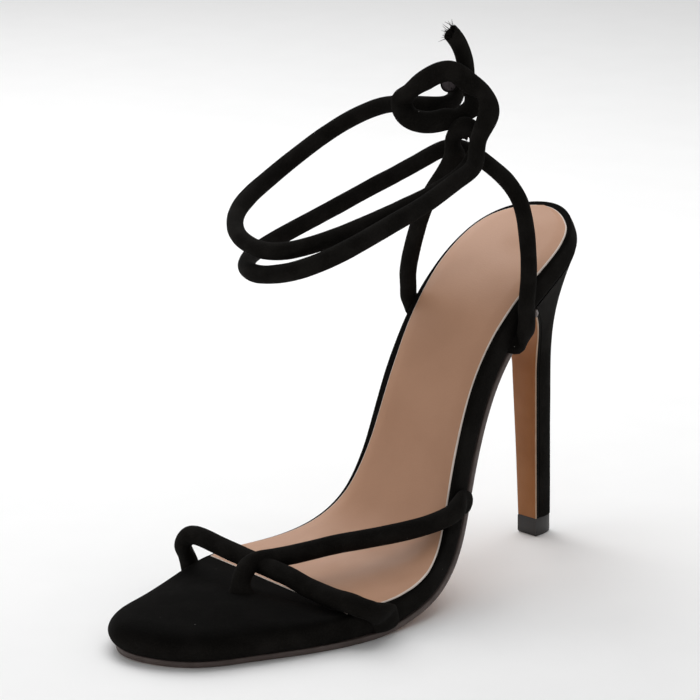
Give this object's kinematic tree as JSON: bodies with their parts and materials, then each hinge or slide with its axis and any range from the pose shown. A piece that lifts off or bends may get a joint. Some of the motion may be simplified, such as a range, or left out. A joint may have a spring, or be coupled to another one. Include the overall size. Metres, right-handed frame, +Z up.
{
  "type": "stiletto sandal",
  "caption": "Left stiletto sandal: suede-covered footbed with a tan leather sock, thin leather sole, slim high heel, round toe straps and a knotted ankle tie.",
  "frame": {"origin": "on the floor, under the middle of the sandal's box, with its ankle tie left out", "axes": "+Z up from the floor, -Y towards the toe, +X towards the outer (lateral) side of the foot"},
  "size_m": [0.1021, 0.1992, 0.1899],
  "materials": {
    "black_suede": "matt, short nap",
    "tan_leather": "smooth, satin",
    "brown_leather": "smooth, satin",
    "hard_rubber": "satin"
  },
  "bodies": {
    "root": {"footbed": "black_suede", "sock": "tan_leather", "outsole": "brown_leather", "heel": "black_suede", "heel_tip": "hard_rubber", "toe_straps": "black_suede", "ankle_tie_lateral": "black_suede", "ankle_tie_medial": "black_suede"}
  },
  "joints": []
}
